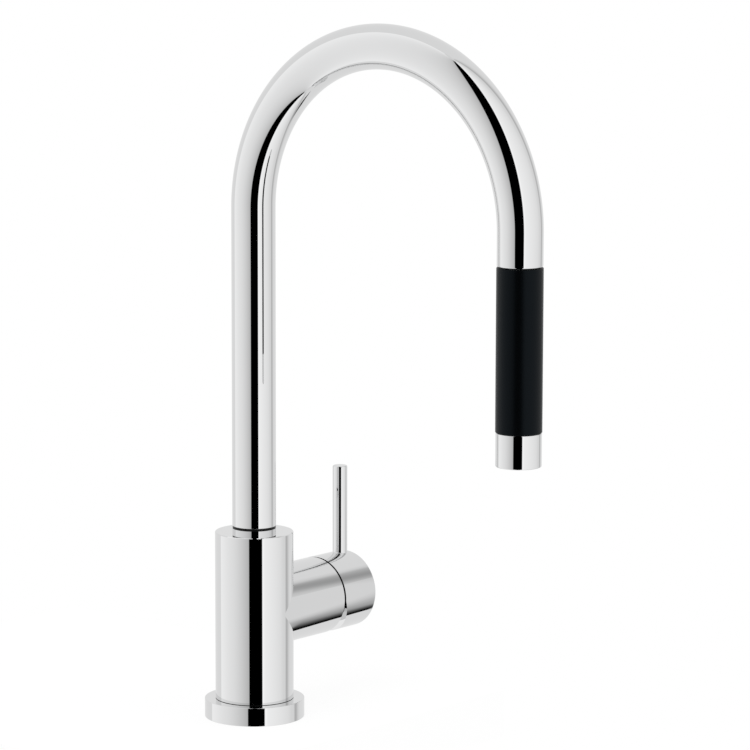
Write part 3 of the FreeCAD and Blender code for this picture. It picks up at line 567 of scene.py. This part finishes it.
@dataclass(frozen=True)
class Spout:
    """Gooseneck with the dock for the spray in its end. Lengths are in millimetres."""

    radius: float = 13.2
    wall: float = 1.5
    foot: float = 117.2
    bend_height: float = 309.5
    bend_radius: float = 100.0
    leg_drop: float = 19.1
    sides: int = 128
    steps: int = 128
    edge: float = 0.3
    lip: float = 1.0
    lip_steps: int = 4

    def build(self, shop: Workshop) -> None:
        """Model the gooseneck and dress the spout."""
        tube = self.tube()
        shop.dress(tube, Slot.CHROME, "spout_tube")
        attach(tube, "spout")
        shop.dress_nodes(Slot.BRASS, "spout_spigot")
        shop.dress_nodes(Slot.BLACK, "spray_dock")
        shop.dress_nodes(Slot.BRAID, "spray_hose")

    def tube(self) -> bpy.types.Object:
        """Pull a ring up the leg, spin it over the bend and pull it down to the end.

        Returns:
            The tube, with its wall and rounded ends.
        """
        piece = start_ring("gooseneck", self.radius, self.foot, self.sides)
        pull_ring((self.bend_height - self.foot) * MM)
        centre = (0, -self.bend_radius * MM, self.bend_height * MM)
        bpy.ops.mesh.spin(steps=self.steps, angle=math.pi, center=centre, axis=(-1, 0, 0))
        pull_ring(-self.leg_drop * MM)
        face_outwards()
        shell = piece.modifiers.new("wall", "SOLIDIFY")
        shell.thickness = self.wall * MM
        shell.offset = -1
        bpy.ops.object.modifier_apply(modifier=shell.name)
        self.round_lip(piece)
        soften_edges(piece, self.edge)
        return piece

    def round_lip(self, piece: bpy.types.Object) -> None:
        """Round the outer edge of the tube's open end.

        Args:
            piece: the tube, which is active.
        """
        far = -2 * self.bend_radius * MM
        low = (self.bend_height - self.leg_drop) * MM
        reach = (self.radius - self.wall / 2) * MM
        bpy.ops.object.mode_set(mode="EDIT")
        bpy.ops.mesh.select_mode(type="VERT")
        bpy.ops.mesh.select_all(action="DESELECT")
        bpy.ops.object.mode_set(mode="OBJECT")
        for vertex in piece.data.vertices:
            spot = vertex.co
            at_end = abs(spot.z - low) < LEVEL_GAP
            vertex.select = at_end and math.hypot(spot.x, spot.y - far) > reach
        bpy.ops.object.mode_set(mode="EDIT")
        bpy.ops.mesh.bevel(offset=self.lip * MM, segments=self.lip_steps)
        bpy.ops.object.mode_set(mode="OBJECT")


@dataclass(frozen=True)
class Cartridge:
    """Mixing cartridge in the side housing."""

    def build(self, shop: Workshop) -> None:
        """Dress the cartridge's nodes."""
        shop.dress_nodes(Slot.GREY, "cartridge_base", "cartridge_case")
        shop.dress_nodes(Slot.GREY, "cartridge_turret", "disc_carrier")
        shop.dress_nodes(Slot.SEAL, "cartridge_seals")
        shop.dress_nodes(Slot.CERAMIC, "fixed_disc", "moving_disc")
        shop.dress_nodes(Slot.BRASS, "cartridge_nut")
        shop.dress_nodes(Slot.STEEL, "stem_pin")
        shop.dress_nodes(Slot.BLACK, "cartridge_cover_ring")


@dataclass(frozen=True)
class Lever:
    """Lever cap with its pin, and the stem it is fixed on."""

    def build(self, shop: Workshop) -> None:
        """Dress the lever's nodes."""
        shop.dress_nodes(Slot.CHROME, "lever_handle")
        shop.dress_nodes(Slot.STEEL, "lever_stem", "lever_grub_screw")
        shop.dress_nodes(Slot.GREY, "lever_plug")


@dataclass(frozen=True)
class Spray:
    """Pull-out spray: grip sleeve, nozzle ring, and the hose that runs out with it.

    Lengths are in millimetres.

    Attributes:
        grip_span: bottom and top of the grip.
        hose_span: bottom and top of the hose that runs out, while it lies in the spout.
        hose_run: how far the hose runs out.
    """

    centre: Point = (0.0, -200.0, 0.0)
    grip_radius: float = 13.4
    grip_bore: float = 11.05
    grip_span: Pair = (195.95, 290.05)
    grip_edge: float = 0.5
    tip_radius: float = 13.2
    tip_bore: float = 10.15
    tip_bottom: float = 176.35
    lip_radius: float = 8.95
    lip_thickness: float = 1.6
    tip_edge: float = 0.7
    hose_radius: float = 6.25
    hose_bore: float = 4.0
    hose_span: Pair = (282.3, 309.5)
    hose_rings: int = 48
    hose_sides: int = 64
    hose_run: float = 400.0

    def build(self, shop: Workshop) -> None:
        """Model the grip, the nozzle ring and the running hose, and dress the spray."""
        grip = self.grip()
        shop.dress(grip, Slot.GRIP, "spray_grip")
        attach(grip, "spray")
        tip = self.tip()
        shop.dress(tip, Slot.CHROME, "spray_tip")
        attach(tip, "spray")
        hose = self.hose()
        shop.dress(hose, Slot.BRAID, "hose_pull")
        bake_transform(hose)
        shop.dress_nodes(Slot.BRASS, "hose_connector")
        shop.dress_nodes(Slot.STEEL, "hose_ferrule")
        shop.dress_nodes(Slot.BLACK, "spray_collar")
        shop.dress_nodes(Slot.GREY, "spray_core", "check_valve")
        shop.dress_nodes(Slot.GREY, "aerator_housing", "aerator_grid", "aerator_strainer")
        shop.dress_nodes(Slot.SEAL, "hose_washer", "tip_o_ring", "aerator_seal")

    def grip(self) -> bpy.types.Object:
        """Return the grip sleeve."""
        low, high = self.grip_span
        return turned_piece("grip_sleeve", [
            (self.grip_bore, low),
            (self.grip_radius, low),
            (self.grip_radius, high),
            (self.grip_bore, high),
        ], edge=self.grip_edge, centre=self.centre)

    def tip(self) -> bpy.types.Object:
        """Return the nozzle ring, with the lip that holds the aerator."""
        top = self.grip_span[0]
        lip = self.tip_bottom + self.lip_thickness
        return turned_piece("nozzle_ring", [
            (self.lip_radius, self.tip_bottom),
            (self.tip_radius, self.tip_bottom),
            (self.tip_radius, top),
            (self.tip_bore, top),
            (self.tip_bore, lip),
            (self.lip_radius, lip),
        ], edge=self.tip_edge, centre=self.centre)

    def hose(self) -> bpy.types.Object:
        """Return the hose that runs out, with rings enough to stretch evenly."""
        low, high = self.hose_span
        step = (high - low) / self.hose_rings
        rise = [low + step * count for count in range(self.hose_rings + 1)]
        section = [(self.hose_radius, height) for height in rise]
        section += [(self.hose_bore, height) for height in reversed(rise)]
        piece = turned_piece(
            "running_hose", section, edge=0.0, centre=self.centre, sides=self.hose_sides)
        self.mark_lay(piece)
        return piece

    def mark_lay(self, piece: bpy.types.Object) -> None:
        """Keep each point's place round and along the run-out hose, for the weave.

        Args:
            piece: the hose, as it lies inside the spout.
        """
        low, high = self.hose_span
        full = (high - low + self.hose_run) / (high - low)
        middle = [value * MM for value in self.centre]
        lay = piece.data.attributes.new(HOSE_LAY, "FLOAT_VECTOR", "POINT")
        for point, vertex in zip(lay.data, piece.data.vertices):
            spot = vertex.co
            point.vector = (spot.x - middle[0], spot.y - middle[1], spot.z * full)


# Studio


def tone(value: float) -> float:
    """Return the linear light of a display tone from 0 to 255, by the usual display curve."""
    share = value / 255
    return share / 12.92 if share <= 0.04045 else ((share + 0.055) / 1.055) ** 2.4


@dataclass(frozen=True)
class Shade:
    """Sheet between the faucet and the light tent, which holds back light on its front alone.

    Attributes:
        name: the sheet's name.
        place: its middle, in metres.
        size: its length and depth, in metres.
        turn: its turn about each axis, in degrees.
        skew: how far its ends lean over the whole depth, as a share of the length.
        ends: shares of the length, and how much of the shade is left there.
        steps: shares of the depth, and how much light is held back there.
    """

    name: str
    place: Point
    size: Pair
    turn: Point
    skew: float
    ends: tuple[Pair, ...]
    steps: tuple[Pair, ...]


@dataclass(frozen=True)
class Lamp:
    """Soft square lamp that faces the faucet's foot.

    Attributes:
        name: the lamp's name.
        place: its middle, in metres.
        size: its width, in metres.
        power: its power, in watts.
    """

    name: str
    place: Point
    size: float
    power: float


@dataclass(frozen=True)
class Studio:
    """Camera, light tent, shades, worktop and lamps round the faucet. Lengths are in metres.

    Attributes:
        lens: the camera's focal length, in millimetres.
        sensor_width: the width of its sensor, in millimetres.
        camera_drop: how far the camera looks down, in degrees.
        camera_heading: the direction it looks in, from the x axis, in degrees.
        camera_roll: its roll, in degrees.
        world_levels: the world's light for all other rays, and for the camera.
        chrome_share: the share of light that the chrome reflects.
        tent_tones: directions from the camera's side, in degrees, and the chrome's display tone there.
        worktop_white: the share of plain white that the camera sees on the worktop.
    """

    lens: float = 184.5
    sensor_width: float = 36.0
    view_end: float = 50.0
    camera_place: Point = (-1.704, -1.5067, 0.5613)
    camera_drop: float = 8.813
    camera_heading: float = 39.656
    camera_roll: float = 0.13
    world_levels: Pair = (0.8, 1.0)
    tent_radius: float = 0.75
    tent_height: float = 24.0
    tent_sides: int = 180
    chrome_share: float = 0.78
    tent_tones: tuple[Pair, ...] = (
        (-180, 212), (-114, 212), (-112.5, 234), (-96, 230), (-84, 226), (-72, 222), (-60, 218),
        (-48, 211), (-36, 202), (-24, 190), (-13.7, 176), (-12.9, 0), (24.8, 0), (25.4, 250),
        (27, 248), (30, 238), (33, 235), (48, 231), (65, 226), (84, 219), (96, 209), (102.5, 209.5),
        (105, 196.4), (107, 181.4), (110, 169.6), (113, 175.7), (116, 190.6), (120, 201), (127, 212),
        (180, 212),
    )
    shades: tuple[Shade, ...] = (
        Shade(
            "sink_shade", (0.3471, -0.1864, -0.1378), (0.5504, 0.171), turn=(0.0, 15.64, -16.0),
            skew=0.6,
            ends=((0.58, 0.0), (0.63, 1.0), (0.92, 1.0), (0.97, 0.0)),
            steps=(
                (0.0, 0.0), (0.123, 0.015), (0.216, 0.04), (0.263, 0.055), (0.309, 0.075),
                (0.357, 0.095), (0.404, 0.12), (0.45, 0.16), (0.497, 0.205), (0.544, 0.27),
                (0.59, 0.36), (0.638, 0.475), (0.684, 0.605), (0.731, 0.73), (0.778, 0.82),
                (0.824, 0.893), (0.871, 0.957), (0.919, 0.995), (1.0, 1.0),
            )),
        Shade(
            "lamp_gap", (0.495, -0.32, 0.3), (0.51, 0.48), turn=(180.0, 0.0, 0.0),
            skew=0.0,
            ends=((0.9, 1.0), (1.0, 0.0)),
            steps=(
                (0.0, 0.0), (0.06, 0.02), (0.1, 0.13), (0.14, 0.25), (0.19, 0.25), (0.27, 0.25),
                (0.35, 0.28), (0.44, 0.26), (0.52, 0.22), (0.6, 0.18), (0.69, 0.15), (0.77, 0.115),
                (0.85, 0.08), (0.92, 0.04), (1.0, 0.0),
            )),
    )
    worktop_place: Point = (0.0, 0.1125, -0.015)
    worktop_size: Point = (0.3, 0.375, 0.03)
    worktop_white: float = 0.9
    lamps: tuple[Lamp, ...] = (
        Lamp("key_lamp", (-1.0, -0.2, 1.4), size=1.2, power=10.0),
        Lamp("fill_lamp", (0.6, -1.3, 0.9), size=1.2, power=5.0),
    )

    def build(self) -> None:
        """Set up the view, the camera, the light and the worktop."""
        scene = bpy.context.scene
        scene.view_settings.view_transform = "Standard"
        self.place_camera(scene)
        self.light_world(scene)
        self.stand_tent()
        for shade in self.shades:
            self.hang_shade(shade)
        self.lay_worktop()
        for lamp in self.lamps:
            self.hang_lamp(lamp, scene)

    def place_camera(self, scene: bpy.types.Scene) -> None:
        """Place the camera.

        Args:
            scene: the scene that gets it.
        """
        data = bpy.data.cameras.new("camera")
        data.lens = self.lens
        data.sensor_width = self.sensor_width
        data.clip_end = self.view_end
        camera = bpy.data.objects.new("camera", data)
        camera.location = self.camera_place
        tilt = math.radians(90 - self.camera_drop)
        aim = Euler((tilt, 0, math.radians(self.camera_heading - 90)))
        roll = Matrix.Rotation(math.radians(self.camera_roll), 3, "Z")
        camera.rotation_euler = (aim.to_matrix() @ roll).to_euler()
        scene.collection.objects.link(camera)
        scene.camera = camera

    def light_world(self, scene: bpy.types.Scene) -> None:
        """Make a world that is white to the camera and plain pale light to the rest.

        Args:
            scene: the scene that gets it.
        """
        world = bpy.data.worlds.new("studio")
        world.use_nodes = True
        scene.world = world
        graph = Graph(world.node_tree)
        path = graph.add("ShaderNodeLightPath")
        level = graph.add("ShaderNodeMapRange")
        level.inputs["To Min"].default_value = self.world_levels[0]
        level.inputs["To Max"].default_value = self.world_levels[1]
        graph.join(path.outputs["Is Camera Ray"], level.inputs["Value"])
        light = graph.add("ShaderNodeBackground")
        light.inputs["Color"].default_value = (1, 1, 1, 1)
        graph.join(level.outputs[0], light.inputs["Strength"])
        output = graph.add("ShaderNodeOutputWorld")
        graph.join(light.outputs[0], output.inputs["Surface"])

    def stand_tent(self) -> None:
        """Stand a tall round tent about the faucet, which only polished surfaces show."""
        start_bench()
        bpy.ops.mesh.primitive_cylinder_add(
            vertices=self.tent_sides, radius=self.tent_radius, depth=self.tent_height,
            end_fill_type="NOTHING")
        tent = bpy.context.object
        tent.name = "light_tent"
        tent.rotation_euler.z = math.radians(self.camera_heading + 180)
        bpy.ops.object.shade_smooth()
        apart, graph = self.reflected(tent, "Object")
        turn = graph.math("ARCTAN2", apart.outputs["Y"], apart.outputs["X"])
        share = graph.math("ADD", graph.math("DIVIDE", turn, 2 * math.pi), 0.5)
        levels = [(angle / 360 + 0.5, tone(value)) for angle, value in self.tent_tones]
        light = graph.add("ShaderNodeEmission")
        light.inputs["Strength"].default_value = 1 / self.chrome_share
        graph.join(self.ramp(graph, share, levels), light.inputs["Color"])
        output = graph.add("ShaderNodeOutputMaterial")
        graph.join(light.outputs[0], output.inputs["Surface"])

    def hang_shade(self, shade: Shade) -> None:
        """Hang a shade, which only polished surfaces show.

        Args:
            shade: what to hang.
        """
        start_bench()
        bpy.ops.mesh.primitive_plane_add(size=1, location=shade.place)
        sheet = bpy.context.object
        sheet.name = shade.name
        sheet.scale = (*shade.size, 1)
        sheet.rotation_euler = [math.radians(angle) for angle in shade.turn]
        apart, graph = self.reflected(sheet, "Generated")
        depth = self.ramp(graph, apart.outputs["Y"], shade.steps)
        lean = graph.math("MULTIPLY", apart.outputs["Y"], shade.skew)
        end = self.ramp(graph, graph.math("ADD", apart.outputs["X"], lean), shade.ends)
        side = graph.add("ShaderNodeNewGeometry")
        front = graph.math("SUBTRACT", 1.0, side.outputs["Backfacing"])
        held = graph.math("MULTIPLY", graph.math("MULTIPLY", depth, end), front)
        clear = graph.add("ShaderNodeBsdfTransparent")
        graph.join(graph.math("SUBTRACT", 1.0, held), clear.inputs[0])
        output = graph.add("ShaderNodeOutputMaterial")
        graph.join(clear.outputs[0], output.inputs["Surface"])

    def reflected(self, thing: bpy.types.Object, space: str) -> tuple[bpy.types.Node, Graph]:
        """Stage an object that only polished surfaces show, and start its material.

        Args:
            thing: the object.
            space: the texture space that the material is laid out in.

        Returns:
            The node with the point's three parts, and the material's graph.
        """
        for kind in ("camera", "diffuse", "transmission", "volume_scatter", "shadow"):
            setattr(thing, f"visible_{kind}", False)
        material = bpy.data.materials.new(thing.name)
        material.use_nodes = True
        material.cycles.emission_sampling = "NONE"
        thing.data.materials.append(material)
        graph = Graph(material.node_tree)
        place = graph.add("ShaderNodeTexCoord")
        apart = graph.add("ShaderNodeSeparateXYZ")
        graph.join(place.outputs[space], apart.inputs[0])
        return apart, graph

    def ramp(self, graph: Graph, share: Socket, steps: Sequence[Pair]) -> Socket:
        """Add a ramp of levels.

        Args:
            graph: the material's graph.
            share: the place along the ramp, from 0 to 1.
            steps: place and level of each step.

        Returns:
            The level at that place.
        """
        node = graph.add("ShaderNodeValToRGB")
        stops = node.color_ramp.elements
        stops.remove(stops[1])
        for count, (where, level) in enumerate(steps):
            stop = stops[0] if count == 0 else stops.new(where)
            stop.position = where
            stop.color = (level, level, level, 1)
        graph.join(share, node.inputs[0])
        return node.outputs[0]

    def lay_worktop(self) -> None:
        """Lay a pale worktop under the faucet, which the pulled spray passes at every swivel."""
        start_bench()
        bpy.ops.mesh.primitive_cube_add(size=1, location=self.worktop_place)
        top = bpy.context.object
        top.name = "worktop"
        top.scale = self.worktop_size
        bpy.ops.object.transform_apply(location=True, rotation=True, scale=True)
        top.visible_glossy = False
        material = bpy.data.materials.new("pale_worktop")
        material.use_nodes = True
        graph = Graph(material.node_tree)
        path = graph.add("ShaderNodeLightPath")
        matt = graph.add("ShaderNodeBsdfDiffuse")
        matt.inputs["Color"].default_value = (1, 1, 1, 1)
        white = graph.add("ShaderNodeEmission")
        share = graph.math("MULTIPLY", path.outputs["Is Camera Ray"], self.worktop_white)
        blend = graph.add("ShaderNodeMixShader")
        graph.join(share, blend.inputs[0])
        graph.join(matt.outputs[0], blend.inputs[1])
        graph.join(white.outputs[0], blend.inputs[2])
        output = graph.add("ShaderNodeOutputMaterial")
        graph.join(blend.outputs[0], output.inputs["Surface"])
        top.data.materials.append(material)

    def hang_lamp(self, lamp: Lamp, scene: bpy.types.Scene) -> None:
        """Hang a soft lamp, which polished surfaces don't show.

        Args:
            lamp: what to hang.
            scene: the scene that gets it.
        """
        data = bpy.data.lights.new(lamp.name, "AREA")
        data.size = lamp.size
        data.energy = lamp.power
        light = bpy.data.objects.new(lamp.name, data)
        light.location = lamp.place
        light.rotation_euler = (-light.location).to_track_quat("-Z", "Y").to_euler()
        light.visible_glossy = False
        scene.collection.objects.link(light)


def main() -> None:
    """Build the sub-assemblies in order, then the studio."""
    logging.basicConfig(level=logging.INFO, format="%(name)s: %(message)s")
    shop = Workshop()
    for part in (BaseAndColumn(), Spout(), Cartridge(), Lever(), Spray()):
        part.build(shop)
    Studio().build()


if __name__ == "__main__":
    main()
